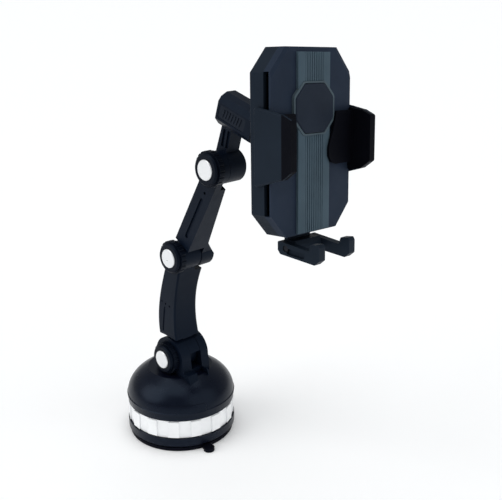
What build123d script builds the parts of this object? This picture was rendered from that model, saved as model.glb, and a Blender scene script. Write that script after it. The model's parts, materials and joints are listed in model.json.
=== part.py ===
# Car phone mount: twist-lock suction base, two jointed arms, ball joint and
# a spring-loaded clamp cradle. Millimetres, +Z up. The origin is the centre of
# the suction cup's underside. The three arm hinges turn about axes along Y,
# with their knobs on the -Y side, and the cradle faces +X.
from build123d import *
from math import asin, atan2, cos, degrees, hypot, pi, radians, sin, tan
import os

os.makedirs("parts", exist_ok=True)

# ---------------------------------------------------------------- clearances
run_fit = 0.05          # radial clearance of a shaft that turns or slides
free_gap = 0.3          # gap between faces of pieces that move past each other
seat_gap = 0.1          # gap between a fixed piece and its pocket

# ------------------------------------------------------------- suction base
base_r = 39.0           # widest radius, at the cover's rim
cup_r = base_r - 1.6    # suction cup
cup_rim_h = 2.4
cup_crown_h = 3.4
tab_angle = -13.0       # pull tab, degrees from +X
tab_reach = base_r + 2.9    # centre of the tab's round end
tab_r = 3.8
anchor_r = 9.0          # disc bonded into the cup's crown
anchor_z = 2.0
anchor_h = 2.0
housing_r = base_r - 0.2
housing_z = 2.7
housing_h = 7.4
housing_wall = 2.6
housing_chamfer = 1.8
ring_h = 13.2           # twist ring
ring_facets = 30
ring_r = base_r - 0.8   # over the proud facets
facet_step = 0.8
skirt_r = base_r - 5.5  # inner skirt that the ring turns on
skirt_wall = 2.2
web_t = 1.8
hub_in_r = 7.6          # cam ramps on the ring's hub
hub_out_r = 10.4
lift = 2.5              # travel of the plunger
lock_turn = 60.0        # turn of the ring that lifts it
rim_h = 5.8             # cover below its dome
dome_h = 24.0           # semi-axis of the dome above the rim
rim_step = 0.5          # the dome springs this far inside the rim's top edge
rim_taper = 0.8         # the rim is this much smaller at its lower edge
dome_top = 19.2         # flat top above the rim
cover_wall = 2.4
panel_angle = -45.0     # raised grip panel on the cover's rim
panel_w = 41.0
panel_h = 6.8
panel_proud = 0.5
post_circle_r = base_r - 12.0
post_r = 3.6
post_count = 3
stem_r = 4.25
stem_top_r = 2.8
pin_r = 1.25
pin_half = 10.2
base_screw_r = 1.4

# ------------------------------------------------------------------- hinges
hinge_1 = (3.5, 60.3)   # X and Z of each hinge axis
hinge_2 = (14.7, 138.2)
hinge_3 = (53.1, 204.1)
face_y = -12.6          # outer face of ears and knuckles, under the knobs
bolt_r = 2.95
bolt_head_af = 10.0
bolt_head_h = 4.0
knob_r = 11.4
knob_h = 6.2
knob_flutes = 20
cap_r = 6.4
cap_proud = 0.6
nut_af = 10.0
nut_h = 3.8
washer_r = 6.5
washer_t = 0.8

# -------------------------------------------------------------- yoke (hinge 1)
ear_r = 14.4
tongue_1_r = 9.6        # lower arm's tongue under the hinge
tongue_1_front = 65.0   # its full radius ends at these angles from upright
tongue_1_back = 48.0
slot_low_y = -4.8
slot_high_y = 4.6
yoke_far_y = 11.2
yoke_front_x = 19.4     # front of the ears below the hinge
block_front_x = 28.4    # lower block in front of the ears
block_far_y = 5.6
block_top_z = 52.0
block_notch_z = 47.6
slot_floor_z = 52.2

# --------------------------------------------------------------------- arms
knuckle_2_r = 10.0      # lower arm's knuckle
tongue_2_r = 10.4       # upper arm's tongue
seam_2_y = 1.2
tongue_2_far_y = 12.0
knuckle_3_r = 10.4
seam_3_y = -7.4
barrel_far_y = 7.2
arm_1_low_y = 9.2       # far side of the lower arm at its ends and waist
arm_1_waist_y = 7.4

# ------------------------------------------------------------ cradle and ball
cradle_centre = (121.0, 0.2, 228.2)
cradle_yaw = 2.0
cradle_pitch = 4.6
cradle_roll = -3.8
plate_w = 67.4
plate_h = 101.0
top_bevel_w = 2.4       # slope along the plate's top edges
top_bevel_h = 0.8
plate_corner_w = 12.0
plate_corner_h = 13.0
body_depth = 16.4
plate_t = 1.2
slot_depth = 3.8
shell_wall = 2.4
ball_set_back = 24.0    # ball centre behind the plate's face
ball_r = 8.0
liner_t = 1.5
stud_neck_r = 3.3
head_pitch = -17.0
head_front = 15.0       # head's front face behind the ball centre
head_back = 47.0
head_w = 18.0
head_top = 11.0         # head's upper face above its axis
head_low = 9.2
head_corner = 3.6
head_side_top = 5.2     # the flat sides end here, above and below the axis
head_side_low = 5.4
head_shoulder = (1.9, 8.8)  # inset from the side and height, where the top's slope changes
head_crown_inset = 5.6
socket_r = 12.0
collar_r = 14.6
cavity_boss_t = 1.2     # thicker wall in front of the ball
strip_half_w = 13.4
strip_h = 1.5
rib_half_w = 7.5
rib_count = 8
rib_h = 0.4
button_w = 31.6
button_h = 26.4
button_corner = 7.8
button_round = 3.2
button_y = 18.1
button_top = 2.3
press = 1.3
bezel_w = 0.9

# -------------------------------------------------------------------- clamps
clamp_y = -0.4          # height of the clamps' centre on the cradle
clamp_t = 2.4
clamp_back_z = -10.0
lip_z = 9.6             # the pad wraps round the clamp's tip from here on
lip_t = 1.0
core_tip_z = 15.0
clamp_tip_z = 16.0
pad_t = 2.2
pad_leg_t = 1.2
leg_reach = {"left": 17.0, "right": 11.0}
pinion_teeth = 16
gear_module = 1.0
gear_t = 2.4
rack_h = 3.0
backlash = 0.5
slider_inner = 18.8     # inner edge of each clamp's slider
slider_half_h = 16.0
guide_inner = 10.6      # each slider's guide beside the gear
guide_h = 15.6
pinion_pin_r = 1.5

# ---------------------------------------------------------------------- foot
foot_w = 4.9
foot_spacing = 26.8
foot_offset = 2.3       # the pair's centre, right of the cradle's
foot_bar_y = -55.4
tongue_w = 20.0
tongue_t = 2.4
tongue_top_y = -18.0

pinion_r = gear_module * pinion_teeth / 2
ring_z = housing_z + housing_h + free_gap
cover_z = ring_z + ring_h + free_gap
rim_z = cover_z + rim_h


def finish(builder, label):
    """Label a finished piece and write it."""
    builder.part.label = label
    export_step(builder.part, f"parts/{label}.step")


def side_plane(y, at=(0.0, 0.0)):
    """Plane facing -Y at the given Y: local x is X, local y is Z."""
    return Plane(origin=(at[0], y, at[1]), x_dir=(1, 0, 0), z_dir=(0, -1, 0))


def chord(start, end):
    """Length of a link and its lean from vertical, as sine and cosine."""
    length = hypot(end[0] - start[0], end[1] - start[1])
    return length, (end[0] - start[0]) / length, (end[1] - start[1]) / length


def link_side(start, end, y):
    """Plane facing -Y whose local y runs along the link."""
    _, s, c = chord(start, end)
    return Plane(origin=(start[0], y, start[1]), x_dir=(c, 0, -s), z_dir=(0, -1, 0))


def link_front(start, end):
    """Plane facing the link's front: local x is Y, local y runs along it."""
    _, s, c = chord(start, end)
    return Plane(origin=(start[0], 0, start[1]), x_dir=(0, 1, 0), z_dir=(c, 0, -s))


def dome_outline(radius, height, flat, drop):
    """Closed half outline of a domed cap, drawn in the XZ plane."""
    dome_r = radius - rim_step
    start = asin(rim_step / height)
    end = asin(flat / height)
    EllipticalCenterArc((0, rim_z), dome_r, height, degrees(start), arc_size=degrees(end - start))
    Polyline(
        (dome_r * cos(end), rim_z + flat), (0, rim_z + flat), (0, rim_z - drop),
        (radius - rim_taper, rim_z - drop), (radius, rim_z), (dome_r * cos(start), rim_z + rim_step),
    )


def octagon(width, height, corner_w, corner_h, mode=Mode.ADD):
    """Rectangle with its four corners cut, as a face in the current sketch."""
    w = width / 2
    h = height / 2
    Polygon(
        (-w + corner_w, h), (w - corner_w, h), (w, h - corner_h), (w, -h + corner_h),
        (w - corner_w, -h), (-w + corner_w, -h), (-w, -h + corner_h), (-w, h - corner_h),
        align=None, mode=mode,
    )


# ============================================================== suction base
with BuildPart() as suction_cup:
    with BuildSketch(Plane.XZ) as profile:
        Polygon(
            (0, 0), (cup_r, 0), (cup_r, cup_rim_h), (cup_r - 4, cup_rim_h), (0, cup_crown_h),
            align=None,
        )
    revolve(axis=Axis.Z)
    with BuildSketch(Plane.XY) as tab:
        with Locations(Rotation(0, 0, tab_angle)):
            with Locations((tab_reach, 0)):
                Circle(tab_r)
            with Locations((tab_reach - 4, 0)):
                Rectangle(8, 2 * tab_r * 0.8)
    extrude(amount=cup_rim_h)
    with BuildSketch(Plane.XY.offset(anchor_z)) as pocket:
        Circle(anchor_r + free_gap)
    extrude(amount=cup_crown_h, mode=Mode.SUBTRACT)
finish(suction_cup, "suction_cup")

with BuildPart() as cup_anchor:
    with BuildSketch(Plane.XY.offset(anchor_z)) as disc:
        Circle(anchor_r)
    extrude(amount=anchor_h)
    with BuildSketch(Plane.XY.offset(anchor_z + anchor_h / 2)) as seat:
        Circle(stem_r)
    extrude(amount=anchor_h, mode=Mode.SUBTRACT)
finish(cup_anchor, "cup_anchor")

web_z = housing_z + housing_h - 3.0
with BuildPart() as lower_housing:
    with BuildSketch(Plane.XY.offset(housing_z)) as wall:
        Circle(housing_r)
        Circle(housing_r - housing_wall, mode=Mode.SUBTRACT)
    extrude(amount=housing_h)
    chamfer(lower_housing.edges().group_by(Axis.Z)[0].sort_by(SortBy.LENGTH)[-1], housing_chamfer)
    with BuildSketch(Plane.XY.offset(web_z)) as web:
        Circle(housing_r - housing_wall / 2)
        Circle(stem_r + run_fit, mode=Mode.SUBTRACT)
    extrude(amount=web_t)
    with BuildSketch(Plane.XY.offset(web_z)) as boss:
        Circle(stem_r + 3.0)
        Circle(stem_r + run_fit, mode=Mode.SUBTRACT)
    extrude(amount=8.0)
    skirt_top = ring_z + ring_h - 5.0
    with BuildSketch(Plane.XY.offset(web_z)) as skirt:
        Circle(skirt_r)
        Circle(skirt_r - skirt_wall, mode=Mode.SUBTRACT)
    extrude(amount=skirt_top - web_z)
    with BuildSketch(Plane.XY.offset(web_z)) as posts:
        with PolarLocations(post_circle_r, post_count):
            Circle(post_r)
    extrude(amount=cover_z + 0.6 - web_z)
    with BuildSketch(Plane.XY.offset(web_z - 1)) as post_bores:
        with PolarLocations(post_circle_r, post_count):
            Circle(base_screw_r + seat_gap)
    extrude(amount=cover_z + 4 - web_z, mode=Mode.SUBTRACT)
finish(lower_housing, "lower_housing")

hub_web_z = skirt_top + 0.5
pin_z = ring_z + ring_h + 0.8
ramp_mid_z = pin_z - pin_r - 0.35 + lift / 2
ramp_mid_r = (hub_in_r + hub_out_r) / 2
ramp_tilt = (lift / 2) / (ramp_mid_r * sin(radians(lock_turn / 2)))
ramp_span = lock_turn + 24.0
with BuildPart() as cam_ramp:
    with BuildSketch(Plane.XY.offset(hub_web_z)) as ramp_foot:
        with BuildLine():
            low = -lock_turn - 12.0
            CenterArc((0, 0), hub_in_r, low, ramp_span)
            CenterArc((0, 0), hub_out_r, low, ramp_span)
            for angle in (radians(low), radians(low + ramp_span)):
                Line(
                    (hub_in_r * cos(angle), hub_in_r * sin(angle)),
                    (hub_out_r * cos(angle), hub_out_r * sin(angle)),
                )
        make_face()
    extrude(amount=12)
    mid = radians(-lock_turn / 2)
    ramp_normal = (-ramp_tilt * sin(mid), ramp_tilt * cos(mid), 1)
    split(bisect_by=Plane(origin=(0, 0, ramp_mid_z), z_dir=ramp_normal), keep=Keep.BOTTOM)

with BuildPart() as lock_ring:
    with BuildSketch(Plane.XY.offset(ring_z)) as band:
        Circle(ring_r - facet_step)
        Circle(skirt_r + 0.5, mode=Mode.SUBTRACT)
    extrude(amount=ring_h)
    facet_half = pi / ring_facets
    with BuildSketch(Plane.XY.offset(ring_z + 0.6)) as facets:
        with PolarLocations(0, ring_facets // 2):
            Polygon(
                (ring_r - facet_step - 1.5, -ring_r * tan(facet_half) * 0.94),
                (ring_r, -ring_r * tan(facet_half) * 0.94),
                (ring_r, ring_r * tan(facet_half) * 0.94),
                (ring_r - facet_step - 1.5, ring_r * tan(facet_half) * 0.94),
                align=None,
            )
    extrude(amount=ring_h - 1.2)
    with BuildSketch(Plane.XY.offset(hub_web_z)) as hub_web:
        Circle(skirt_r + 1.0)
        Circle(hub_in_r, mode=Mode.SUBTRACT)
    extrude(amount=web_t)
    for i in range(post_count):
        with BuildSketch(Plane.XY.offset(hub_web_z).rotated((0, 0, i * 360 / post_count))) as window:
            with BuildLine():
                in_r = post_circle_r - post_r - 0.6
                out_r = post_circle_r + post_r + 0.6
                low = radians(-lock_turn - 10.0)
                high = radians(10.0)
                CenterArc((0, 0), in_r, -lock_turn - 10.0, lock_turn + 20.0)
                CenterArc((0, 0), out_r, -lock_turn - 10.0, lock_turn + 20.0)
                Line((in_r * cos(low), in_r * sin(low)), (out_r * cos(low), out_r * sin(low)))
                Line((in_r * cos(high), in_r * sin(high)), (out_r * cos(high), out_r * sin(high)))
            make_face()
        extrude(amount=web_t, mode=Mode.SUBTRACT)
    add(cam_ramp.part)
    add(cam_ramp.part.rotate(Axis.Z, 180))
finish(lock_ring, "lock_ring")

with BuildPart() as dome_form:
    with BuildSketch(Plane.XZ) as dome_half:
        with BuildLine():
            dome_outline(base_r, dome_h, dome_top, rim_h)
        make_face()
    revolve(axis=Axis.Z)

with BuildPart() as panel_form:
    with BuildSketch(Plane.XZ) as panel_half:
        with BuildLine():
            dome_outline(base_r + panel_proud, dome_h + panel_proud, dome_top, rim_h)
        make_face()
    revolve(axis=Axis.Z)
    panel_plane = Plane(
        origin=(0, 0, rim_z - 1.2 + panel_h / 2),
        x_dir=(-sin(radians(panel_angle)), cos(radians(panel_angle)), 0),
        z_dir=(cos(radians(panel_angle)), sin(radians(panel_angle)), 0),
    )
    with BuildSketch(panel_plane.offset(20)) as panel_face:
        RectangleRounded(panel_w, panel_h, 1.6)
    extrude(amount=40, mode=Mode.INTERSECT)

tube_top_z = rim_z + dome_top - cover_wall
tube_low_z = pin_z - 3.4
tube_in_r = stem_r + 0.6
tube_out_r = hub_in_r - 0.8
slot_w = 2 * pin_r + 0.5
with BuildPart() as base_cover:
    add(dome_form.part)
    with BuildSketch(Plane.XZ) as inner_half:
        with BuildLine():
            dome_outline(base_r - cover_wall, dome_h - cover_wall, dome_top - cover_wall, rim_h)
        make_face()
    revolve(axis=Axis.Z, mode=Mode.SUBTRACT)
    add(panel_form.part)
    with BuildSketch(Plane.XY.offset(tube_low_z)) as tube:
        Circle(tube_out_r)
        Circle(tube_in_r, mode=Mode.SUBTRACT)
    extrude(amount=tube_top_z + 0.5 - tube_low_z)
    with BuildSketch(Plane.XY.offset(tube_low_z)) as tube_slots:
        Rectangle(2 * tube_out_r + 2, slot_w)
    extrude(amount=pin_z + pin_r + lift + 0.6 - tube_low_z, mode=Mode.SUBTRACT)
    with BuildSketch(Plane.XY.offset(cover_z + 0.6)) as cover_posts:
        with PolarLocations(post_circle_r, post_count):
            Circle(post_r)
    extrude(amount=rim_z + 0.6 * dome_h - cover_z - 0.6)
    with BuildSketch(Plane.XY.offset(cover_z)) as cover_bores:
        with PolarLocations(post_circle_r, post_count):
            Circle(base_screw_r)
    extrude(amount=8.0, mode=Mode.SUBTRACT)
    yoke_screw_spots = [(-6.0, -8.7), (10.0, -8.7), (-6.0, 8.0), (10.0, 8.0)]
    with BuildSketch(Plane.XY.offset(tube_top_z - 1)) as yoke_screw_holes:
        with Locations(*yoke_screw_spots):
            Circle(base_screw_r + seat_gap)
    extrude(amount=cover_wall + 4, mode=Mode.SUBTRACT)
finish(base_cover, "base_cover")

with BuildPart() as base_screws:
    with BuildSketch(Plane.XY.offset(web_z)) as shanks:
        with PolarLocations(post_circle_r, post_count):
            Circle(base_screw_r)
    extrude(amount=cover_z + 8.0 - web_z)
    with BuildSketch(Plane.XY.offset(web_z - 1.6)) as heads:
        with PolarLocations(post_circle_r, post_count):
            Circle(2.8)
    extrude(amount=1.6)
finish(base_screws, "base_screws")

stem_low_z = anchor_z + anchor_h / 2
with BuildPart() as plunger_stem:
    with BuildSketch(Plane.XY.offset(stem_low_z)) as lower_rod:
        Circle(stem_r)
    extrude(amount=pin_z + 2.0 - stem_low_z)
    with BuildSketch(Plane.XY.offset(pin_z + 2.0)) as upper_rod:
        Circle(stem_top_r)
    extrude(amount=tube_top_z - lift - 1.0 - pin_z - 2.0)
    with BuildSketch(Plane.YZ.offset(-stem_r - 1)) as cross_hole:
        with Locations((0, pin_z)):
            Circle(pin_r)
    extrude(amount=2 * stem_r + 2, mode=Mode.SUBTRACT)
finish(plunger_stem, "plunger_stem")

with BuildPart() as plunger_pin:
    with BuildSketch(Plane.YZ.offset(-pin_half)) as pin_end:
        with Locations((0, pin_z)):
            Circle(pin_r)
    extrude(amount=2 * pin_half)
finish(plunger_pin, "plunger_pin")

spring_low_z = pin_z + 2.0
spring_high_z = tube_top_z
spring_wire_r = 0.35
spring_r = (stem_top_r + tube_in_r) / 2
with BuildPart() as plunger_spring:
    with BuildLine() as coil:
        Helix(
            pitch=(spring_high_z - spring_low_z - 2 * spring_wire_r) / 6,
            height=spring_high_z - spring_low_z - 2 * spring_wire_r - 0.1,
            radius=spring_r,
            center=(0, 0, spring_low_z + spring_wire_r + 0.05),
        )
    with BuildSketch(Plane(origin=coil.line @ 0, z_dir=coil.line % 0)) as wire:
        Circle(spring_wire_r)
    sweep(path=coil.line, is_frenet=True)
finish(plunger_spring, "plunger_spring")

# =================================================================== hinge 1
with BuildPart() as yoke_screws:
    with BuildSketch(Plane.XY.offset(tube_top_z - 1.6)) as yoke_screw_heads:
        with Locations(*yoke_screw_spots):
            Circle(2.6)
    extrude(amount=1.6)
    with BuildSketch(Plane.XY.offset(tube_top_z - 1.6)) as yoke_screw_shanks:
        with Locations(*yoke_screw_spots):
            Circle(base_screw_r - 0.02)
    extrude(amount=cover_wall + 6.0)
finish(yoke_screws, "yoke_screws")

yoke_bottom_z = rim_z + 4.0
with BuildPart() as base_yoke:
    with BuildSketch(side_plane(yoke_far_y)) as yoke_side:
        with Locations(hinge_1):
            Circle(ear_r)
        Polygon(
            (hinge_1[0] - ear_r, hinge_1[1]), (hinge_1[0] - ear_r, yoke_bottom_z),
            (yoke_front_x, yoke_bottom_z), (yoke_front_x - 0.4, block_top_z),
            (hinge_1[0] + ear_r, hinge_1[1]), (hinge_1[0], hinge_1[1]),
            align=None,
        )
    extrude(amount=yoke_far_y - face_y)
    with BuildSketch(side_plane(block_far_y)) as block_side:
        Polygon(
            (hinge_1[0], yoke_bottom_z), (block_front_x, yoke_bottom_z), (block_front_x - 1.4, block_top_z - 9.0),
            (block_front_x - 4.2, block_top_z), (hinge_1[0], block_top_z),
            align=None,
        )
    extrude(amount=block_far_y - face_y)
    with BuildSketch(side_plane(slot_high_y)) as block_notch:
        Polygon(
            (yoke_front_x - 2.0, block_notch_z), (40, block_notch_z), (40, 60), (yoke_front_x - 2.0, 60),
            align=None,
        )
    extrude(amount=slot_high_y - slot_low_y, mode=Mode.SUBTRACT)
    with BuildSketch(side_plane(slot_high_y)) as yoke_slot:
        with Locations(hinge_1):
            Circle(tongue_1_r + 0.5)
        Polygon(
            (hinge_1[0], slot_floor_z), (60, slot_floor_z), (60, 90), (-40, 90), (-40, hinge_1[1] - 1.5),
            (hinge_1[0], hinge_1[1] - 1.5),
            align=None,
        )
    extrude(amount=slot_high_y - slot_low_y, mode=Mode.SUBTRACT)
    add(dome_form.part, mode=Mode.SUBTRACT)
    with BuildSketch(side_plane(yoke_far_y)) as yoke_bore:
        with Locations(hinge_1):
            Circle(bolt_r + seat_gap)
    extrude(amount=yoke_far_y - face_y, mode=Mode.SUBTRACT)
    with BuildSketch(side_plane(yoke_far_y)) as yoke_hex:
        with Locations(hinge_1):
            RegularPolygon(bolt_head_af / 2 + seat_gap, 6, major_radius=False)
    extrude(amount=bolt_head_h, mode=Mode.SUBTRACT)
    with BuildSketch(Plane.XY.offset(rim_z + dome_top)) as yoke_screw_bores:
        with Locations(*yoke_screw_spots):
            Circle(base_screw_r)
    extrude(amount=5.0, mode=Mode.SUBTRACT)
finish(base_yoke, "base_yoke")

# ==================================================================== arms
length_1, lean_s1, lean_c1 = chord(hinge_1, hinge_2)
with BuildPart() as lower_arm:
    with BuildSketch(link_side(hinge_1, hinge_2, arm_1_low_y)) as arm_1_side:
        with BuildLine():
            back = Spline(
                (-12.4, 14.2), (-14.2, 21.5), (-15.2, 35.0), (-13.8, 50.5), (-10.0, length_1 - 8),
            )
            front = Spline((4.4, length_1 - 9), (2.4, 48.8), (3.3, 29.0), (6.2, 15.9))
            Line(back @ 1, front @ 0)
            ThreePointArc(front @ 1, (-3.2, 15.5), back @ 0)
        make_face()
    extrude(amount=arm_1_low_y - face_y)
    with BuildSketch(link_front(hinge_1, hinge_2).offset(-30)) as arm_1_front:
        with BuildLine():
            far = Spline(
                (arm_1_low_y, length_1 - 13.0), (arm_1_waist_y, 46.0), (arm_1_waist_y + 0.3, 34.0),
                (arm_1_low_y, 14.0),
            )
            Polyline(
                far @ 1, (arm_1_low_y, 5), (face_y, 5), (face_y, length_1),
                (seam_2_y, length_1), (seam_2_y, length_1 - knuckle_2_r - 1.8), far @ 0,
            )
        make_face()
    extrude(amount=60, mode=Mode.INTERSECT)
    long_edges = lower_arm.edges().filter_by(lambda e: e.length > 40)
    fillet(long_edges.sort_by(Axis.Y)[-2:], 2.4)
    fillet(lower_arm.edges().filter_by(lambda e: e.length > 40).sort_by(Axis.Y)[:2], 1.2)
    with BuildSketch(link_side(hinge_1, hinge_2, slot_high_y - 0.3)) as tongue_1:
        Circle(tongue_1_r)
        with BuildLine():
            fan = CenterArc((0, 0), ear_r - 0.2, 90 - tongue_1_front, tongue_1_front + tongue_1_back)
            Polyline(fan @ 1, (0, 0), fan @ 0)
        make_face()
        Polygon((-10.5, 22), (-11.0, 8), (5, 8), (3.2, 22), align=None)
    extrude(amount=slot_high_y - slot_low_y - 0.6)
    with BuildSketch(side_plane(seam_2_y)) as knuckle_2:
        with Locations(hinge_2):
            Circle(knuckle_2_r)
    extrude(amount=seam_2_y - face_y)
    with BuildSketch(side_plane(40)) as arm_1_bores:
        with Locations(hinge_1, hinge_2):
            Circle(bolt_r + run_fit)
    extrude(amount=80, mode=Mode.SUBTRACT)
    with BuildSketch(link_side(hinge_1, hinge_2, face_y + 0.5)) as arm_1_marks:
        with Locations((-11.6, 39.5), (-7.6, 39.2), (-3.4, 38.9)):
            Circle(0.8)
        with Locations((-8.2, 27.0)):
            SlotOverall(19.0, 1.8, rotation=90)
    extrude(amount=1.0, mode=Mode.SUBTRACT)
finish(lower_arm, "lower_arm")

length_2, lean_s2, lean_c2 = chord(hinge_2, hinge_3)
arm_2_back = -6.4
arm_2_front = 8.1
with BuildPart() as upper_arm:
    with BuildSketch(link_side(hinge_2, hinge_3, tongue_2_far_y)) as arm_2_side:
        Circle(tongue_2_r)
        Polygon(
            (arm_2_back, 2), (arm_2_front, 2), (arm_2_front, length_2 - 4), (knuckle_3_r * 0.8, length_2),
            (-knuckle_3_r * 0.8, length_2), (arm_2_back, length_2 - 6),
            align=None,
        )
        with Locations((0, length_2)):
            Circle(knuckle_3_r)
    extrude(amount=tongue_2_far_y - face_y)
    with BuildSketch(link_front(hinge_2, hinge_3).offset(-30)) as arm_2_face:
        Polygon(
            (seam_2_y + free_gap, -12), (tongue_2_far_y, -12), (tongue_2_far_y, 4.5), (3.6, 15.0),
            (-3.2, length_2 - knuckle_3_r - 1.6), (seam_3_y - free_gap, length_2 - knuckle_3_r - 1.6),
            (seam_3_y - free_gap, length_2 + 14), (face_y, length_2 + 14), (face_y, 11.4),
            (seam_2_y + free_gap, 11.4),
            align=None,
        )
    extrude(amount=60, mode=Mode.INTERSECT)
    with BuildSketch(side_plane(seam_2_y)) as knuckle_room:
        with Locations(hinge_2):
            Circle(knuckle_2_r + free_gap)
    extrude(amount=30, mode=Mode.SUBTRACT)
    with BuildSketch(side_plane(40)) as arm_2_bore_2:
        with Locations(hinge_2):
            Circle(bolt_r + seat_gap)
    extrude(amount=80, mode=Mode.SUBTRACT)
    with BuildSketch(side_plane(40)) as arm_2_bore_3:
        with Locations(hinge_3):
            Circle(bolt_r + run_fit)
    extrude(amount=80, mode=Mode.SUBTRACT)
    with BuildSketch(side_plane(tongue_2_far_y)) as arm_2_hex:
        with Locations(hinge_2):
            RegularPolygon(bolt_head_af / 2 + seat_gap, 6, major_radius=False)
    extrude(amount=bolt_head_h, mode=Mode.SUBTRACT)
    with BuildSketch(link_side(hinge_2, hinge_3, face_y + 1.0)) as arm_2_groove:
        with Locations((1.6, 36.0)):
            SlotOverall(34.0, 3.0, rotation=90)
        with Locations((1.6, 57.5)):
            Circle(1.0)
    extrude(amount=2.0, mode=Mode.SUBTRACT)
finish(upper_arm, "upper_arm")

# ============================================================ ball joint frame
yaw = radians(cradle_yaw)
pitch = radians(cradle_pitch)
roll = radians(cradle_roll)
normal = Vector(cos(yaw) * cos(pitch), sin(yaw) * cos(pitch), sin(pitch))
level = Vector(-sin(yaw), cos(yaw), 0)
upward = normal.cross(level)
lateral = level * cos(roll) + upward * sin(roll)
cradle = Plane(origin=cradle_centre, x_dir=lateral, z_dir=normal)
ball = Vector(*cradle_centre) - normal * ball_set_back
head_dir = Vector(-cos(radians(head_pitch)), 0, -sin(radians(head_pitch)))
head_plane = Plane(origin=ball, x_dir=(0, 1, 0), z_dir=head_dir)


def head_at(distance):
    """Plane across the head's axis, this far behind the ball's centre."""
    return head_plane.offset(distance)


with BuildPart() as head_block:
    with BuildSketch(head_at(head_front)) as head_section:
        half = head_w / 2
        shoulder_in, shoulder_up = head_shoulder
        Polygon(
            (half, head_side_low), (half - head_corner, head_low), (head_corner - half, head_low),
            (-half, head_side_low), (-half, -head_side_top), (shoulder_in - half, -shoulder_up),
            (head_crown_inset - half, -head_top), (half - head_crown_inset, -head_top),
            (half - shoulder_in, -shoulder_up), (half, -head_side_top),
            align=None,
        )
    extrude(amount=head_back - head_front)
    head_rear = head_block.faces().filter_by(lambda f: f.normal_at().dot(head_dir) > 0.99)[0]
    chamfer(head_rear.edges(), 1.8)

with BuildPart() as neck_link:
    with BuildSketch(side_plane(barrel_far_y)) as barrel:
        with Locations(hinge_3):
            Circle(knuckle_3_r)
    extrude(amount=barrel_far_y - seam_3_y)
    chamfer(neck_link.edges().group_by(Axis.Y)[-1], 1.6)
    neck_foot = (hinge_3[0], hinge_3[1] + 2)
    neck_head = Vector(ball.X, 0, ball.Z) + head_dir * 38.0
    with BuildSketch(side_plane(5.0)) as neck_side:
        Polygon(
            (neck_foot[0] - 4.6, neck_foot[1]), (neck_foot[0] + 5.4, neck_foot[1]),
            (neck_foot[0] + 4.6, neck_foot[1] + 8), (neck_head.X + 3.8, neck_head.Z),
            (neck_head.X - 3.6, neck_head.Z), (neck_foot[0] - 4.2, neck_foot[1] + 8),
            align=None,
        )
    extrude(amount=11.0)
    add(head_block.part)
    neck_mid = (Vector(neck_foot[0], 0, neck_foot[1]) + neck_head) * 0.5
    neck_lean = degrees(atan2(neck_head.X - neck_foot[0], neck_head.Z - neck_foot[1]))
    with BuildSketch(side_plane(-5.0)) as neck_recess:
        with Locations(Location((neck_mid.X + 0.6, neck_mid.Z + 0.2, 0), (0, 0, -neck_lean))):
            Rectangle(6.0, 11.0)
            Rectangle(1.6, 11.0, mode=Mode.SUBTRACT)
    extrude(amount=4.0, mode=Mode.SUBTRACT)
    badge_plane = Plane(origin=ball + head_dir * (head_front + 17.0), x_dir=-head_dir, z_dir=(0, -1, 0))
    with BuildSketch(badge_plane.offset(head_w / 2 - 1.0)) as badge_pocket:
        RectangleRounded(23.0, 8.2, 1.2)
    extrude(amount=4.0, mode=Mode.SUBTRACT)
    with BuildSketch(side_plane(20)) as neck_bore:
        with Locations(hinge_3):
            Circle(bolt_r + seat_gap)
    extrude(amount=60, mode=Mode.SUBTRACT)
    with BuildSketch(side_plane(barrel_far_y)) as neck_hex:
        with Locations(hinge_3):
            RegularPolygon(bolt_head_af / 2 + seat_gap, 6, major_radius=False)
    extrude(amount=bolt_head_h, mode=Mode.SUBTRACT)
    with BuildSketch(head_at(head_front - 1)) as stud_bore:
        Circle(stud_neck_r)
    extrude(amount=13.0, mode=Mode.SUBTRACT)
finish(neck_link, "neck_link")

with BuildPart() as head_badge:
    with BuildSketch(badge_plane.offset(head_w / 2 - 1.0)) as badge_face:
        RectangleRounded(23.0 - 2 * seat_gap, 8.2 - 2 * seat_gap, 1.1)
    extrude(amount=0.7)
    with BuildSketch(badge_plane.offset(head_w / 2 - 0.3)) as badge_ribs:
        with GridLocations(2.4, 0, 7, 1):
            SlotOverall(5.2, 1.0, rotation=78)
    extrude(amount=0.45)
finish(head_badge, "head_badge")

with BuildPart() as ball_stud:
    Sphere(ball_r)
    with BuildSketch(Plane.XY) as stud_neck:
        Circle(stud_neck_r)
    extrude(amount=head_front + 11.5)
    with BuildSketch(Plane.XY.offset(head_front - 2.6)) as stud_flange:
        Circle(5.6)
    extrude(amount=2.5)
    split(bisect_by=Plane.XY.offset(-ball_r + 0.8), keep=Keep.TOP)
ball_stud.part = head_plane.location * ball_stud.part
finish(ball_stud, "ball_stud")

spin_clear = 0.06
front_liner_half = 52.0
rear_liner_open = 44.0


def liner_shell(low_angle, high_angle):
    """Spherical shell about +Z between two polar angles, in the XZ plane."""
    in_r = ball_r + spin_clear
    out_r = ball_r + liner_t
    low = radians(low_angle)
    high = radians(high_angle)
    CenterArc((0, 0), in_r, 90 - high_angle, high_angle - low_angle)
    CenterArc((0, 0), out_r, 90 - high_angle, high_angle - low_angle)
    Line((in_r * sin(low), in_r * cos(low)), (out_r * sin(low), out_r * cos(low)))
    Line((in_r * sin(high), in_r * cos(high)), (out_r * sin(high), out_r * cos(high)))


with BuildPart() as front_liner:
    with BuildSketch(Plane.XZ) as front_cap:
        with BuildLine():
            liner_shell(4.0, front_liner_half)
        make_face()
    revolve(axis=Axis.Z)
front_liner.part = Plane(origin=ball, x_dir=lateral, z_dir=normal).location * front_liner.part
finish(front_liner, "front_liner")

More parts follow.
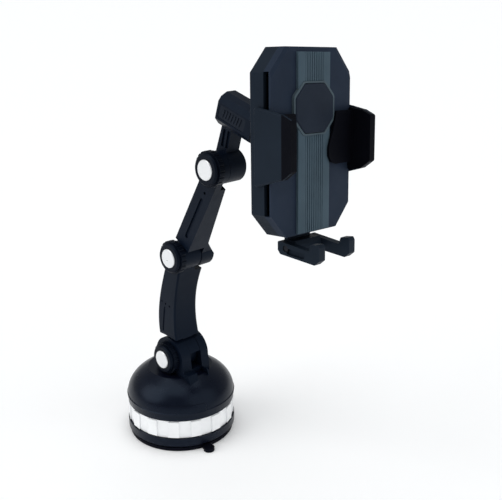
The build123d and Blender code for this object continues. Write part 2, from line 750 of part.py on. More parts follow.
with BuildPart() as rear_liner:
    with BuildSketch(Plane.XZ) as rear_cap:
        with BuildLine():
            liner_shell(rear_liner_open, 88.0)
        make_face()
    revolve(axis=Axis.Z)
rear_liner.part = head_plane.location * rear_liner.part
finish(rear_liner, "rear_liner")

# ==================================================================== cradle
def level_at(depth):
    """Plane parallel to the cradle's face; 0 is the face, positive is in front."""
    return cradle.offset(depth)


cavity_r = ball_r + liner_t + spin_clear
socket_end = -ball_set_back - 3.0
back_z = -body_depth
slot_z = -plate_t - slot_depth
button_box_wall = 1.5
button_box_low = button_y - button_h / 2 - button_box_wall
pinion_y = button_box_low - 2 * free_gap - rack_h - 1.25 * gear_module - pinion_r
with BuildPart() as cavity_ball:
    Sphere(cavity_r)
cavity_ball.part = Plane(origin=ball, x_dir=lateral, z_dir=normal).location * cavity_ball.part

case_screw_x = 23.5
case_screw_y = 39.5
with BuildPart() as back_shell:
    with BuildSketch(level_at(back_z)) as shell_outline:
        octagon(plate_w, plate_h, plate_corner_w, plate_corner_h)
    extrude(amount=slot_z - back_z)
    back_rim = back_shell.faces().filter_by(lambda f: f.normal_at().dot(normal) < -0.99)[0]
    chamfer(back_rim.edges(), 2.0)
    with BuildSketch(level_at(back_z + shell_wall)) as shell_room:
        octagon(plate_w - 2 * shell_wall, plate_h - 2 * shell_wall, plate_corner_w - 1, plate_corner_h - 1)
    extrude(amount=body_depth, mode=Mode.SUBTRACT)
    with BuildSketch(level_at(back_z + shell_wall)) as shell_posts:
        with GridLocations(2 * case_screw_x, 2 * case_screw_y, 2, 2):
            Circle(3.4)
        with Locations((0, pinion_y)):
            Circle(3.6)
    extrude(amount=slot_z - back_z - shell_wall)
    with BuildSketch(level_at(back_z + shell_wall)) as cavity_boss:
        Circle(8.0)
    extrude(amount=cavity_boss_t)
    with BuildSketch(level_at(socket_end)) as socket_wall:
        Circle(socket_r)
    extrude(amount=back_z - socket_end + 0.5)
    add(cavity_ball.part, mode=Mode.SUBTRACT)
    with BuildSketch(level_at(socket_end - 1)) as socket_mouth:
        Circle(cavity_r)
    extrude(amount=4.0, mode=Mode.SUBTRACT)
    with BuildSketch(level_at(back_z)) as shell_bores:
        with GridLocations(2 * case_screw_x, 2 * case_screw_y, 2, 2):
            Circle(1.3 + seat_gap)
    extrude(amount=body_depth, mode=Mode.SUBTRACT)
    with BuildSketch(level_at(back_z)) as head_bores:
        with GridLocations(2 * case_screw_x, 2 * case_screw_y, 2, 2):
            Circle(2.5)
    extrude(amount=1.5, mode=Mode.SUBTRACT)
    with BuildSketch(level_at(back_z + shell_wall)) as tongue_rails:
        with GridLocations(tongue_w + 2 * free_gap + 3.0, 0, 2, 1):
            with Locations((foot_offset, -32.0)):
                Rectangle(3.0, 30.0)
    extrude(amount=tongue_t + 0.8)
    with BuildSketch(level_at(back_z + shell_wall)) as tongue_gate:
        with Locations((foot_offset, -plate_h / 2)):
            Rectangle(tongue_w + 2 * free_gap, 3 * shell_wall)
    extrude(amount=tongue_t + 2 * free_gap, mode=Mode.SUBTRACT)
    with BuildSketch(level_at(back_z)) as pin_bore:
        with Locations((0, pinion_y)):
            Circle(pinion_pin_r)
    extrude(amount=body_depth, mode=Mode.SUBTRACT)
finish(back_shell, "back_shell")

with BuildPart() as collar_nut:
    with BuildSketch(level_at(socket_end - 3.0)) as collar_disc:
        Circle(collar_r)
        with PolarLocations(collar_r + 0.7, 16):
            Circle(1.5, mode=Mode.SUBTRACT)
    extrude(amount=12.5)
    with BuildSketch(level_at(socket_end - 0.2)) as collar_bore:
        Circle(socket_r + run_fit)
    extrude(amount=20, mode=Mode.SUBTRACT)
    add(cavity_ball.part, mode=Mode.SUBTRACT)
finish(collar_nut, "collar_nut")

button_room = 0.35
with BuildPart() as front_plate:
    with BuildSketch(level_at(-plate_t)) as plate_outline:
        octagon(plate_w, plate_h, plate_corner_w, plate_corner_h)
    extrude(amount=plate_t)
    front_rim = front_plate.faces().filter_by(lambda f: f.normal_at().dot(normal) > 0.99)[0]
    bevel_low_y = plate_h / 2 - plate_corner_h * 0.6
    top_rim = front_rim.edges().filter_by(lambda e: cradle.to_local_coords(e.center()).Y > bevel_low_y)
    chamfer(top_rim, top_bevel_w, top_bevel_h, reference=front_rim)
    with BuildSketch(level_at(slot_z)) as end_walls:
        octagon(plate_w, plate_h, plate_corner_w, plate_corner_h)
        octagon(plate_w - 2 * shell_wall, plate_h - 2 * shell_wall, plate_corner_w - 1, plate_corner_h - 1,
                mode=Mode.SUBTRACT)
        Rectangle(plate_w + 2, plate_h - 2 * plate_corner_h + 0.6, mode=Mode.SUBTRACT)
    extrude(amount=slot_depth + 0.2)
    with BuildSketch(level_at(slot_z)) as plate_posts:
        with GridLocations(2 * case_screw_x, 2 * case_screw_y, 2, 2):
            Circle(3.2)
    extrude(amount=slot_depth + 0.2)
    with BuildSketch(level_at(slot_z)) as button_box:
        with Locations((0, button_y)):
            box_room = 2 * button_box_wall
            octagon(button_w + box_room, button_h + box_room, button_corner, button_corner)
        fillet(button_box.vertices(), button_round)
    extrude(amount=slot_depth + 0.2)
    with BuildSketch(level_at(slot_z + 1.0)) as button_hole:
        with Locations((0, button_y)):
            octagon(button_w + 2 * button_room, button_h + 2 * button_room, button_corner, button_corner)
        fillet(button_hole.vertices(), button_round)
    extrude(amount=20, mode=Mode.SUBTRACT)
    with BuildSketch(level_at(slot_z)) as plate_bores:
        with GridLocations(2 * case_screw_x, 2 * case_screw_y, 2, 2):
            Circle(1.3)
    extrude(amount=slot_depth + 0.6, mode=Mode.SUBTRACT)
finish(front_plate, "front_plate")

strip_low = -plate_h / 2 + 0.8
strip_high = plate_h / 2 - top_bevel_w - 0.2
strip_gap_h = button_h + 2 * bezel_w + 0.8
for name, low, high in (
    ("upper_strip", button_y, strip_high),
    ("lower_strip", strip_low, button_y),
):
    with BuildPart() as strip:
        with BuildSketch(level_at(0)) as strip_outline:
            with Locations((0, (low + high) / 2)):
                Rectangle(2 * strip_half_w, high - low)
        extrude(amount=strip_h)
        with BuildSketch(level_at(strip_h - rib_h - 0.1)) as rib_field:
            Rectangle(2 * rib_half_w, plate_h)
        extrude(amount=1, mode=Mode.SUBTRACT)
        with BuildSketch(level_at(strip_h - rib_h - 0.1)) as ribs:
            with Locations((0, (low + high) / 2)):
                with GridLocations(2 * rib_half_w / rib_count, 0, rib_count, 1):
                    Rectangle(rib_half_w / rib_count * 1.2, high - low)
        extrude(amount=rib_h)
        with BuildSketch(level_at(-1)) as strip_hole:
            with Locations((0, button_y)):
                octagon(button_w + 2 * bezel_w + 0.8, strip_gap_h, button_corner, button_corner)
            fillet(strip_hole.vertices(), button_round)
        extrude(amount=10, mode=Mode.SUBTRACT)
    finish(strip, name)

with BuildPart() as button_bezel:
    with BuildSketch(level_at(0)) as bezel_ring:
        with Locations((0, button_y)):
            bezel_room = 2 * bezel_w + 0.6
            octagon(button_w + bezel_room, button_h + bezel_room, button_corner, button_corner)
            octagon(button_w + 0.6, button_h + 0.6, button_corner, button_corner, mode=Mode.SUBTRACT)
        fillet(bezel_ring.vertices(), button_round)
    extrude(amount=strip_h + 0.3)
finish(button_bezel, "button_bezel")

with BuildPart() as trigger_button:
    with BuildSketch(level_at(button_top - 3.4)) as button_face:
        with Locations((0, button_y)):
            octagon(button_w, button_h, button_corner - 0.2, button_corner - 0.2)
        fillet(button_face.vertices(), button_round)
    extrude(amount=3.4)
    button_rim = trigger_button.faces().filter_by(lambda f: f.normal_at().dot(normal) > 0.99)[0]
    chamfer(button_rim.edges(), 0.5)
finish(trigger_button, "trigger_button")

spring_floor = slot_z + 1.0
with BuildPart() as trigger_spring:
    with BuildSketch(level_at(spring_floor)) as wave_ring:
        with Locations((0, button_y)):
            Circle(6.0)
            Circle(4.6, mode=Mode.SUBTRACT)
    extrude(amount=button_top - 3.4 - press - spring_floor - 0.1)
finish(trigger_spring, "trigger_spring")

with BuildPart() as case_screws:
    with BuildSketch(level_at(back_z)) as case_heads:
        with GridLocations(2 * case_screw_x, 2 * case_screw_y, 2, 2):
            Circle(2.4)
    extrude(amount=1.5)
    with BuildSketch(level_at(back_z)) as case_shanks:
        with GridLocations(2 * case_screw_x, 2 * case_screw_y, 2, 2):
            Circle(1.3)
    extrude(amount=body_depth - plate_t + 0.4)
finish(case_screws, "case_screws")


def side_at(x):
    """Plane across the cradle: local x points out of its face, local y up it."""
    return Plane(origin=cradle.from_local_coords((x, 0, 0)), x_dir=normal, z_dir=lateral * -1)


rack_pitch = pi * gear_module
tooth_half = (rack_pitch / 2 - backlash) / 2
tooth_tip = 0.9 * gear_module
tooth_root = 1.25 * gear_module
flank = tan(radians(20))
gear_z = slot_z + (slot_depth - gear_t) / 2


def rack_tooth():
    """One rack tooth about the origin of the current locations, pointing down."""
    Polygon(
        (-tooth_half - tooth_root * flank, tooth_root + 0.1), (-tooth_half + tooth_tip * flank, -tooth_tip),
        (tooth_half - tooth_tip * flank, -tooth_tip), (tooth_half + tooth_root * flank, tooth_root + 0.1),
        align=None,
    )


plate_edge = plate_w / 2
arm_inner = plate_edge + free_gap
arm_outline = [
    (clamp_back_z, clamp_y + 20.4), (1.0, clamp_y + 18.6),
    (lip_z, clamp_y + 16.7), (clamp_tip_z, clamp_y + 13.7),
    (clamp_tip_z, clamp_y - 12.0), (lip_z, clamp_y - 16.6),
    (0.0, clamp_y - 19.2), (clamp_back_z, clamp_y - 22.0),
]
lip_outline = arm_outline[2:6]
rack_line = pinion_r + 0.1
for side, label in ((-1, "left"), (1, "right")):
    with BuildPart() as clamp:
        with BuildSketch(side_at(max(side * arm_inner, side * (arm_inner + clamp_t)))) as arm_face:
            Polygon(*arm_outline, align=None)
            fillet(arm_face.vertices(), 1.6)
        extrude(amount=clamp_t)
        outer_rim = clamp.faces().filter_by(lambda f: f.normal_at().dot(lateral * side) > 0.99)[0]
        chamfer(outer_rim.edges(), 0.7)
        arm_outer = side * (arm_inner + clamp_t)
        with BuildSketch(side_at(max(arm_outer, arm_outer - side * lip_t))) as lip_seat:
            with Locations((lip_z + 5.0, clamp_y)):
                Rectangle(10.0, 60)
        extrude(amount=lip_t, mode=Mode.SUBTRACT)
        with BuildSketch(side_at(max(side * arm_inner, arm_outer))) as tip_seat:
            with Locations((core_tip_z + 5.0, clamp_y)):
                Rectangle(10.0, 60)
        extrude(amount=clamp_t, mode=Mode.SUBTRACT)
        with BuildSketch(level_at(gear_z)) as slider:
            with Locations((side * (slider_inner + arm_inner + 1) / 2, clamp_y)):
                Rectangle(arm_inner + 1 - slider_inner, 2 * slider_half_h)
            rack_low = pinion_y - side * (rack_line + tooth_root)
            with Locations((0, rack_low - side * rack_h / 2)):
                Rectangle(2 * (slider_inner - 0.5), rack_h)
            with Locations((side * slider_inner, rack_low - side * rack_h / 2)):
                Rectangle(3.0, rack_h)
            with Locations((side * (guide_inner + slider_inner + 1) / 2, rack_low + side * guide_h / 2)):
                Rectangle(slider_inner + 1 - guide_inner, guide_h)
            with Locations((0, pinion_y - side * rack_line)):
                for i in range(-2, 6):
                    tooth_x = -side * (i + 0.5) * rack_pitch
                    with Locations(Location((tooth_x, 0, 0), (0, 0, 90 + 90 * side))):
                        rack_tooth()
            if side > 0:
                with Locations((slider_inner + 3.0, (rack_low - rack_h + clamp_y - slider_half_h) / 2)):
                    Rectangle(6.0, clamp_y - slider_half_h - rack_low + rack_h)
        extrude(amount=gear_t)
    finish(clamp, f"clamp_{label}")

    pad_outer = side * (arm_inner - 0.05)
    pad_inner = side * (arm_inner - 0.05 - pad_t)
    with BuildPart() as pad:
        with BuildSketch(side_at(max(pad_outer, pad_inner))) as pad_face:
            Polygon(
                (0.5, clamp_y + 18.0), (lip_z, clamp_y + 16.4), (clamp_tip_z, clamp_y + 13.7),
                (clamp_tip_z, clamp_y - 12.0), (lip_z, clamp_y - 16.2), (0.5, clamp_y - 18.2),
                align=None,
            )
            fillet(pad_face.vertices(), 1.4)
        extrude(amount=pad_t)
        pad_wrap = side * (arm_inner + clamp_t)
        with BuildSketch(side_at(max(pad_wrap, pad_inner))) as pad_lip:
            Polygon(*lip_outline, align=None)
            fillet(pad_lip.vertices().sort_by(Axis.X)[-2:], 1.4)
        extrude(amount=clamp_t + 0.05 + pad_t)
        core_out = side * (arm_inner + clamp_t - lip_t + 0.05)
        with BuildSketch(side_at(max(core_out, pad_outer))) as core_room:
            with Locations((core_tip_z + 0.05 - 10.0, clamp_y)):
                Rectangle(20.0, 60)
        extrude(amount=clamp_t - lip_t + 0.1, mode=Mode.SUBTRACT)
        leg_root = arm_inner - 1.3
        leg_tip = leg_reach[label]
        with BuildSketch(level_at(strip_h + 0.4)) as pad_leg:
            Polygon(
                (side * leg_root, 16.0), (side * 17.6, 16.0), (side * max(16.6, leg_tip), 12.0),
                (side * max(14.6, leg_tip), 5.0), (side * max(12.4, leg_tip), 0.5), (side * leg_tip, -4.0),
                (side * leg_tip, -8.5), (side * (leg_tip + 2.2), -12.2), (side * (leg_tip + 6.0), -13.5),
                (side * leg_root, -13.5),
                align=None,
            )
            fillet(pad_leg.vertices(), 0.8)
        extrude(amount=pad_leg_t)
    finish(pad, f"pad_{label}")

with BuildPart() as pinion:
    with BuildSketch(level_at(gear_z)) as pinion_face:
        with Locations((0, pinion_y)):
            Circle(pinion_r - 1.2 * gear_module)
            for i in range(pinion_teeth):
                with Locations(Rotation(0, 0, 90 + i * 360 / pinion_teeth)):
                    Polygon(
                        (pinion_r - 1.6 * gear_module, -1.0), (pinion_r, -tooth_half),
                        (pinion_r + tooth_tip, -0.3), (pinion_r + tooth_tip, 0.3),
                        (pinion_r, tooth_half), (pinion_r - 1.6 * gear_module, 1.0),
                        align=None,
                    )
            Circle(pinion_pin_r + run_fit, mode=Mode.SUBTRACT)
    extrude(amount=gear_t)
finish(pinion, "pinion")

with BuildPart() as pinion_pin:
    with BuildSketch(level_at(back_z + 1.0)) as pin_face:
        with Locations((0, pinion_y)):
            Circle(pinion_pin_r)
    extrude(amount=gear_z + gear_t - back_z - 1.0)
finish(pinion_pin, "pinion_pin")

clamp_coil_r = 5.0
coil_wire_r = 0.45
with BuildPart() as clamp_spring:
    coil_low = back_z + shell_wall + cavity_boss_t + coil_wire_r + 0.1
    coil_high = slot_z - coil_wire_r - 0.1
    with BuildLine() as clamp_coil:
        Helix(pitch=(coil_high - coil_low) / 3, height=coil_high - coil_low, radius=clamp_coil_r)
    with BuildSketch(Plane(origin=clamp_coil.line @ 0, z_dir=clamp_coil.line % 0)) as coil_wire:
        Circle(coil_wire_r)
    sweep(path=clamp_coil.line, is_frenet=True)
clamp_spring.part = Plane(
    origin=cradle.from_local_coords((0, pinion_y, coil_low)), x_dir=lateral, z_dir=normal
).location * clamp_spring.part
finish(clamp_spring, "clamp_spring")

# ====================================================================== foot
tongue_z = back_z + shell_wall + free_gap
foot_screw_at = (-8.0, foot_bar_y - 3.8)
foot_screw_r = 1.1
foot_head_r = 1.8
foot_head_t = 1.1
foot_recess = 1.6
bar_half = foot_spacing / 2 - foot_w / 2
foot_outline = [
    (-13.6, foot_bar_y + 0.2), (9.0, foot_bar_y - 3.0), (10.2, foot_bar_y + 1.0), (15.6, foot_bar_y + 1.6),
    (16.6, foot_bar_y - 0.2), (16.6, foot_bar_y - 7.4), (13.2, foot_bar_y - 10.2),
    (-11.8, foot_bar_y - 7.4), (-13.6, foot_bar_y - 5.1),
]
with BuildPart() as foot_slider:
    with BuildSketch(level_at(tongue_z)) as tongue:
        with Locations((foot_offset, (tongue_top_y + foot_bar_y - 0.8) / 2)):
            Rectangle(tongue_w, tongue_top_y - foot_bar_y + 0.8)
    extrude(amount=tongue_t)
    with BuildSketch(side_at(foot_offset + bar_half - 0.05)) as cross_bar:
        Polygon(
            (-12.0, foot_bar_y), (-5.0, foot_bar_y), (-3.6, foot_bar_y - 2.4), (-3.6, foot_bar_y - 6.3),
            (-11.0, foot_bar_y - 6.3), (-12.0, foot_bar_y - 4.9),
            align=None,
        )
    extrude(amount=2 * bar_half - 0.1)
    with BuildSketch(side_at(foot_offset + bar_half)) as bar_bore:
        with Locations(foot_screw_at):
            Circle(foot_screw_r)
    extrude(amount=2 * bar_half, mode=Mode.SUBTRACT)
finish(foot_slider, "foot_slider")

for side, label in ((-1, "left"), (1, "right")):
    outer = foot_offset + side * (bar_half + foot_w)
    inner = foot_offset + side * bar_half
    with BuildPart() as foot:
        with BuildSketch(side_at(max(outer, inner))) as foot_face:
            Polygon(*foot_outline, align=None)
            fillet(foot_face.vertices(), 0.9)
        extrude(amount=foot_w)
        with BuildSketch(side_at(max(outer, outer - side * foot_recess))) as foot_groove:
            with Locations(Location((-0.6, foot_bar_y - 5.8, 0), (0, 0, -6))):
                SlotOverall(13.5, 3.4)
        extrude(amount=foot_recess, mode=Mode.SUBTRACT)
        with BuildSketch(side_at(max(outer, inner))) as foot_bore:
            with Locations(foot_screw_at):
                Circle(foot_screw_r + seat_gap)
        extrude(amount=foot_w, mode=Mode.SUBTRACT)
        with BuildSketch(side_at(max(outer, outer - side * foot_recess))) as foot_head:
            with Locations(foot_screw_at):
                Circle(foot_head_r + seat_gap)
        extrude(amount=foot_recess, mode=Mode.SUBTRACT)
    finish(foot, f"foot_{label}")

with BuildPart() as foot_screws:
    for side in (-1, 1):
        head_out = foot_offset + side * (bar_half + foot_w - foot_recess + foot_head_t)
        head_in = head_out - side * foot_head_t
        shank_in = foot_offset + side * 3.0
        with BuildSketch(side_at(max(shank_in, head_out))) as foot_shank:
            with Locations(foot_screw_at):
                Circle(foot_screw_r)
        extrude(amount=abs(head_out - shank_in))
        with BuildSketch(side_at(max(head_in, head_out))) as foot_screw_head:
            with Locations(foot_screw_at):
                Circle(foot_head_r)
        extrude(amount=foot_head_t)
finish(foot_screws, "foot_screws")

# ============================================================ hinge hardware
knob_back = face_y - free_gap
hinges = ((1, hinge_1, yoke_far_y), (2, hinge_2, tongue_2_far_y), (3, hinge_3, barrel_far_y))
for number, hinge, far_y in hinges:
    with BuildPart() as bolt:
        with BuildSketch(side_plane(far_y - 0.2, hinge)) as bolt_head:
            RegularPolygon(bolt_head_af / 2, 6, major_radius=False)
        extrude(amount=bolt_head_h - 0.2)
        with BuildSketch(side_plane(far_y - 0.2, hinge)) as bolt_shank:
            Circle(bolt_r)
        extrude(amount=far_y - 0.2 - (knob_back - washer_t - nut_h))
    finish(bolt, f"hinge_bolt_{number}")

    with BuildPart() as washer:
        with BuildSketch(side_plane(face_y - 0.05, hinge)) as washer_face:
            Circle(washer_r)
            Circle(bolt_r + seat_gap, mode=Mode.SUBTRACT)
        extrude(amount=washer_t)
    finish(washer, f"washer_{number}")

    nut_back = face_y - 0.05 - washer_t - seat_gap
    with BuildPart() as nut:
        with BuildSketch(side_plane(nut_back, hinge)) as nut_face:
            RegularPolygon(nut_af / 2, 6, major_radius=False)
            Circle(bolt_r + run_fit, mode=Mode.SUBTRACT)
        extrude(amount=nut_h)
    finish(nut, f"knob_nut_{number}")

    with BuildPart() as knob:
        with BuildSketch(side_plane(knob_back, hinge)) as knob_base:
            Circle(knob_r)
            with PolarLocations(knob_r + 0.35, knob_flutes):
                Circle(0.8, mode=Mode.SUBTRACT)
        extrude(amount=knob_h * 0.62)
        with BuildSketch(side_plane(knob_back - knob_h * 0.62, hinge)) as knob_step:
            Circle(knob_r - 1.3)
        extrude(amount=knob_h * 0.38)
        front = knob.faces().sort_by(Axis.Y)[0]
        chamfer(front.edges(), 1.0)
        with BuildSketch(side_plane(knob_back + 1, hinge)) as washer_room:
            Circle(washer_r + free_gap)
        extrude(amount=1 + washer_t - 0.15, mode=Mode.SUBTRACT)
        with BuildSketch(side_plane(knob_back, hinge)) as nut_room:
            RegularPolygon(nut_af / 2 + seat_gap, 6, major_radius=False)
        extrude(amount=knob_back - nut_back + nut_h + 0.2, mode=Mode.SUBTRACT)
        with BuildSketch(side_plane(knob_back - knob_h + 0.8, hinge)) as cap_room:
            Circle(cap_r + seat_gap)
        extrude(amount=2, mode=Mode.SUBTRACT)
    finish(knob, f"knob_{number}")

    with BuildPart() as cap:
        with BuildSketch(side_plane(knob_back - knob_h + 0.8, hinge)) as cap_face:
            Circle(cap_r)
        extrude(amount=0.8 + cap_proud)
        chamfer(cap.faces().sort_by(Axis.Y)[0].edges(), 0.35)
    finish(cap, f"knob_cap_{number}")
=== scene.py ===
import json
import math

import bpy
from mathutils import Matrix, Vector

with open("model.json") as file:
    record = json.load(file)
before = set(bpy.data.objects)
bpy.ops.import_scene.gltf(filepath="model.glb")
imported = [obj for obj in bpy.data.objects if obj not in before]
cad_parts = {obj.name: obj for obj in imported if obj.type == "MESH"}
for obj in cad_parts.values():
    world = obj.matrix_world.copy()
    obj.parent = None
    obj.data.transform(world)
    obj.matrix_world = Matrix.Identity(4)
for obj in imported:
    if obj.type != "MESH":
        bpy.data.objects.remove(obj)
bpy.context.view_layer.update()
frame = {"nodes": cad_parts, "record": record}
NODES = frame["nodes"]
RECORD = frame["record"]


# ------------------------------------------------------------------ materials
BLUE_SHEEN = (0.55, 0.74, 1.0, 1.0)     # the plastic's reflections are a cool blue
RUBBER_SHEEN = (0.6, 0.7, 1.0, 1.0)


def node_material(name):
    """A new material with its Principled shader linked to the output; returns the material, its node tree
    and the shader.
    """
    mat = bpy.data.materials.new(name)
    mat.use_nodes = True
    tree = mat.node_tree
    tree.nodes.clear()
    out = tree.nodes.new("ShaderNodeOutputMaterial")
    shader = tree.nodes.new("ShaderNodeBsdfPrincipled")
    tree.links.new(shader.outputs[0], out.inputs[0])
    return mat, tree, shader


def add_node(tree, kind, inputs=None, **settings):
    node = tree.nodes.new(kind)
    for key, value in settings.items():
        setattr(node, key, value)
    for key, value in (inputs or {}).items():
        if hasattr(value, "is_output"):
            tree.links.new(value, node.inputs[key])
        else:
            node.inputs[key].default_value = value
    return node


def noise(tree, scale, detail=3.0, roughness=0.5, stretch=None):
    """Noise in object metres, with scale in waves per metre."""
    coord = add_node(tree, "ShaderNodeTexCoord")
    vector = coord.outputs["Object"]
    if stretch is not None:
        mapping = add_node(tree, "ShaderNodeMapping", {"Vector": vector, "Scale": stretch})
        vector = mapping.outputs[0]
    node = add_node(
        tree, "ShaderNodeTexNoise",
        {"Vector": vector, "Scale": scale, "Detail": detail, "Roughness": roughness},
    )
    return node.outputs[0]


def ramp(tree, value, low, high, to_low, to_high):
    node = add_node(
        tree, "ShaderNodeMapRange",
        {"Value": value, "From Min": low, "From Max": high, "To Min": to_low, "To Max": to_high},
    )
    return node.outputs[0]


def mix_colour(tree, factor, a, b):
    node = add_node(tree, "ShaderNodeMix", data_type="RGBA")
    for index, value in ((0, factor), (6, a), (7, b)):
        if hasattr(value, "is_output"):
            tree.links.new(value, node.inputs[index])
        else:
            node.inputs[index].default_value = value
    return node.outputs[2]


def edge_mask(tree, radius):
    """1 on edges sharper than the radius, 0 on flat areas."""
    bevel = add_node(tree, "ShaderNodeBevel", {"Radius": radius}, samples=4)
    geometry = add_node(tree, "ShaderNodeNewGeometry")
    dot = add_node(
        tree, "ShaderNodeVectorMath",
        {0: bevel.outputs[0], 1: geometry.outputs["Normal"]}, operation="DOT_PRODUCT",
    )
    return ramp(tree, dot.outputs["Value"], 0.995, 0.88, 0.0, 1.0)


def rgba(colour, gain=1.0):
    return (colour[0] * gain, colour[1] * gain, colour[2] * gain, 1.0)


def plastic(name, colour, rough, grain=2600.0, grain_depth=0.00002, wear=0.3, specular=0.10):
    """Moulded plastic: fine texture, faint cloudiness, handled edges a little lighter."""
    mat, tree, shader = node_material(name)
    cloud = noise(tree, 38.0, 4.0)
    base = mix_colour(tree, ramp(tree, cloud, 0.3, 0.7, 0.0, 1.0), rgba(colour, 0.86), rgba(colour, 1.16))
    smudge = noise(tree, 150.0, 5.0, 0.62)
    edges = edge_mask(tree, 0.0005)
    broken = add_node(
        tree, "ShaderNodeMath",
        {0: edges, 1: ramp(tree, smudge, 0.42, 0.66, 0.15, 1.0)}, operation="MULTIPLY",
    ).outputs[0]
    faded = add_node(tree, "ShaderNodeMath", {0: broken, 1: wear}, operation="MULTIPLY").outputs[0]
    lighter = (colour[0] * 2.2 + 0.02, colour[1] * 2.2 + 0.02, colour[2] * 2.2 + 0.024, 1.0)
    tree.links.new(mix_colour(tree, faded, base, lighter), shader.inputs["Base Color"])
    tree.links.new(ramp(tree, smudge, 0.3, 0.7, rough - 0.05, rough + 0.06), shader.inputs["Roughness"])
    grain_noise = noise(tree, grain, 2.0, 0.5)
    bump = add_node(
        tree, "ShaderNodeBump", {"Height": grain_noise, "Distance": grain_depth, "Strength": 0.6},
    )
    tree.links.new(bump.outputs[0], shader.inputs["Normal"])
    shader.inputs["Specular IOR Level"].default_value = specular
    shader.inputs["Specular Tint"].default_value = BLUE_SHEEN
    return mat


def rubber(name, colour, rough):
    """Soft rubber: dull, with a dusty bloom and a faint mould texture."""
    mat, tree, shader = node_material(name)
    dust = noise(tree, 90.0, 6.0, 0.6)
    base = mix_colour(tree, ramp(tree, dust, 0.45, 0.75, 0.0, 0.5), rgba(colour), rgba(colour, 1.9))
    tree.links.new(base, shader.inputs["Base Color"])
    tree.links.new(ramp(tree, dust, 0.3, 0.7, rough - 0.06, rough + 0.08), shader.inputs["Roughness"])
    bump = add_node(
        tree, "ShaderNodeBump",
        {"Height": noise(tree, 1500.0, 2.0), "Distance": 0.00003, "Strength": 0.5},
    )
    tree.links.new(bump.outputs[0], shader.inputs["Normal"])
    shader.inputs["Specular IOR Level"].default_value = 0.08
    shader.inputs["Specular Tint"].default_value = RUBBER_SHEEN
    return mat


def silver(name, colour, rough, metallic):
    """Satin silver coat: bright, with fine drift in gloss and slightly darker edges."""
    mat, tree, shader = node_material(name)
    drift = noise(tree, 60.0, 5.0, 0.6)
    base = mix_colour(tree, ramp(tree, drift, 0.3, 0.7, 0.0, 1.0), rgba(colour, 0.94), rgba(colour, 1.03))
    worn = add_node(
        tree, "ShaderNodeMath",
        {0: edge_mask(tree, 0.0004), 1: ramp(tree, noise(tree, 700.0, 3.0), 0.45, 0.6, 0.0, 0.5)},
        operation="MULTIPLY",
    ).outputs[0]
    tree.links.new(mix_colour(tree, worn, base, rgba(colour, 0.62)), shader.inputs["Base Color"])
    tree.links.new(ramp(tree, drift, 0.3, 0.7, rough - 0.05, rough + 0.07), shader.inputs["Roughness"])
    shader.inputs["Metallic"].default_value = metallic
    bump = add_node(
        tree, "ShaderNodeBump",
        {"Height": noise(tree, 3000.0, 2.0), "Distance": 0.00001, "Strength": 0.4},
    )
    tree.links.new(bump.outputs[0], shader.inputs["Normal"])
    return mat


def steel(name, colour, rough):
    """Plated steel: metallic, with fine streaks and darker spots."""
    mat, tree, shader = node_material(name)
    streak = noise(tree, 900.0, 3.0, 0.5, (1.0, 0.12, 1.0))
    base = mix_colour(tree, ramp(tree, streak, 0.35, 0.65, 0.0, 1.0), rgba(colour, 0.85), rgba(colour, 1.08))
    tree.links.new(base, shader.inputs["Base Color"])
    tree.links.new(ramp(tree, streak, 0.3, 0.7, rough - 0.06, rough + 0.1), shader.inputs["Roughness"])
    shader.inputs["Metallic"].default_value = 1.0
    bump = add_node(
        tree, "ShaderNodeBump", {"Height": streak, "Distance": 0.00001, "Strength": 0.4},
    )
    tree.links.new(bump.outputs[0], shader.inputs["Normal"])
    return mat


NAVY = (0.0026, 0.0052, 0.0120)
FINISHES = {
    "cup_rubber": rubber("cup_rubber_look", (0.0022, 0.0024, 0.0052), 0.60),
    "anchor_plastic": plastic("anchor_look", (0.02, 0.02, 0.022), 0.5),
    "base_black": plastic("base_black_look", (0.0020, 0.0028, 0.0080), 0.30, 1800.0, 0.000012, specular=0.2),
    "silver_ring": silver("silver_ring_look", (0.95, 0.96, 0.97), 0.38, 0.40),
    "steel": steel("steel_look", (0.56, 0.56, 0.57), 0.32),
    # Foot screw heads: near-black colour as painted shade. They sit at the back end of the foot, where shade
    # hides the steel's glint.
    "black_steel": steel("foot_screw_painted_shade_look", (0.020, 0.021, 0.026), 0.4),
    "spring_steel": steel("spring_look", (0.45, 0.45, 0.46), 0.3),
    "arm_black": plastic("arm_black_look", NAVY, 0.42),
    "badge_black": plastic("badge_look", (0.0090, 0.0120, 0.0190), 0.42),
    "knob_black": plastic("knob_black_look", (0.0020, 0.0034, 0.0076), 0.42),
    "silver_cap": silver("silver_cap_look", (0.84, 0.85, 0.86), 0.30, 0.45),
    "liner_plastic": plastic("liner_look", (0.62, 0.62, 0.60), 0.35, wear=0.0),
    "cradle_black": plastic("cradle_black_look", (0.0088, 0.0136, 0.0215), 0.45),
    "plate_blue_grey": plastic("plate_look", (0.0150, 0.0225, 0.0390), 0.50, 3000.0, 0.00003),
    "strip_slate": plastic("strip_look", (0.0520, 0.0800, 0.1020), 0.46, 3000.0, 0.00002),
    "bezel_grey": plastic("bezel_look", (0.0620, 0.0860, 0.1020), 0.45),
    "button_slate": plastic("button_look", (0.0140, 0.0190, 0.0300), 0.50, 3000.0, 0.00003),
    "pad_rubber": rubber("pad_rubber_look", (0.0010, 0.0010, 0.0020), 0.65),
}
SLOT_OF = {entry["node"]: entry["material_slot"] for entry in RECORD["subparts"]}

for name, node in NODES.items():
    finish = FINISHES[SLOT_OF[name]]
    for index in range(len(node.material_slots)):
        node.material_slots[index].material = finish
    if not node.material_slots:
        node.data.materials.append(finish)

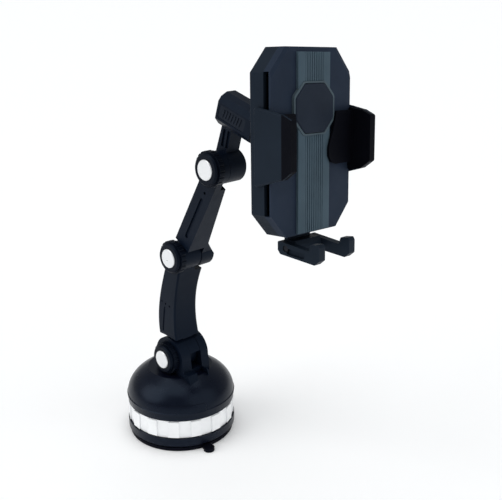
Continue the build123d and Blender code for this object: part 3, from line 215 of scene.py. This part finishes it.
# Moulded edges are a little round. The width is kept below the thinnest land.
ROUNDED = {
    "base_cover": 0.0006, "lower_housing": 0.0004, "base_yoke": 0.0009, "lower_arm": 0.0005,
    "upper_arm": 0.0009, "neck_link": 0.0008, "back_shell": 0.0007, "front_plate": 0.0003,
    "clamp_left": 0.0004, "clamp_right": 0.0004, "pad_left": 0.0004, "pad_right": 0.0004,
    "foot_left": 0.0005, "foot_right": 0.0005, "foot_slider": 0.0004, "knob_1": 0.00025,
    "knob_2": 0.00025, "knob_3": 0.00025, "collar_nut": 0.0003, "lock_ring": 0.0002,
    "trigger_button": 0.0003, "upper_strip": 0.00012, "lower_strip": 0.00012, "button_bezel": 0.0002,
}
for name, width in ROUNDED.items():
    bevel = NODES[name].modifiers.new("edge", "BEVEL")
    bevel.width = width
    bevel.segments = 3
    bevel.limit_method = "ANGLE"
    bevel.angle_limit = math.radians(32)
    bevel.use_clamp_overlap = True
    bevel.harden_normals = True

# ---------------------------------------------------------- floor and lights
floor_mesh = bpy.data.meshes.new("floor")
side = 30.0             # past everything that the camera sees
floor_drop = 0.0002     # just under the cup, so that the two faces don't meet
floor_mesh.from_pydata(
    [(-side, -side, 0), (side, -side, 0), (side, side, 0), (-side, side, 0)], [], [(0, 1, 2, 3)],
)
floor = bpy.data.objects.new("floor", floor_mesh)
bpy.context.collection.objects.link(floor)
floor.location.z = -floor_drop
floor_mat, floor_tree, floor_shader = node_material("floor_look")
floor_shader.inputs["Base Color"].default_value = (0.90, 0.90, 0.90, 1.0)
floor_shader.inputs["Roughness"].default_value = 0.9
floor_shader.inputs["Emission Color"].default_value = (1.0, 1.0, 1.0, 1.0)
floor_shader.inputs["Emission Strength"].default_value = 0.12
floor_mesh.materials.append(floor_mat)

world = bpy.data.worlds.new("studio")
bpy.context.scene.world = world
world.use_nodes = True
world_tree = world.node_tree
studio_light = world_tree.nodes["Background"]
studio_light.inputs[0].default_value = (0.93, 0.97, 1.0, 1.0)
studio_light.inputs[1].default_value = 0.36
white_wall = add_node(world_tree, "ShaderNodeBackground", {"Color": (1.0, 1.0, 1.0, 1.0), "Strength": 1.0})
seen = add_node(world_tree, "ShaderNodeLightPath")
either = add_node(
    world_tree, "ShaderNodeMixShader",
    {0: seen.outputs["Is Camera Ray"], 1: studio_light.outputs[0], 2: white_wall.outputs[0]},
)
world_tree.links.new(either.outputs[0], world_tree.nodes["World Output"].inputs[0])
bpy.context.scene.view_settings.view_transform = "Standard"


def sun(name, place, aim, spread, strength):
    """A soft lamp far off in the direction of place."""
    data = bpy.data.lights.new(name, "SUN")
    data.angle = math.radians(spread)
    data.energy = strength
    light = bpy.data.objects.new(name, data)
    bpy.context.collection.objects.link(light)
    light.location = place
    light.rotation_euler = (Vector(aim) - Vector(place)).to_track_quat("-Z", "Y").to_euler()
    return light


middle = (0.05, 0.0, 0.15)
sun("key", (-0.45, -1.1, 1.0), middle, 50, 1.1)
sun("fill", (1.2, 0.2, 0.8), middle, 60, 0.6)
sun("top", (0.1, -0.1, 1.3), middle, 60, 1.15)

# --------------------------------------------------------------------- camera
azimuth = math.radians(45.56)
elevation = math.radians(18.73)
level = math.cos(elevation)
back = Vector((math.sin(azimuth) * level, -math.cos(azimuth) * level, math.sin(elevation)))
camera_data = bpy.data.cameras.new("camera")
camera_data.sensor_width = 36.0
camera_data.lens = 56.52
camera_data.clip_start = 0.01
camera = bpy.data.objects.new("camera", camera_data)
bpy.context.collection.objects.link(camera)
camera.location = (0.40375, -0.32409, 0.31078)
camera.rotation_euler = back.to_track_quat("Z", "Y").to_euler()
bpy.context.scene.camera = camera
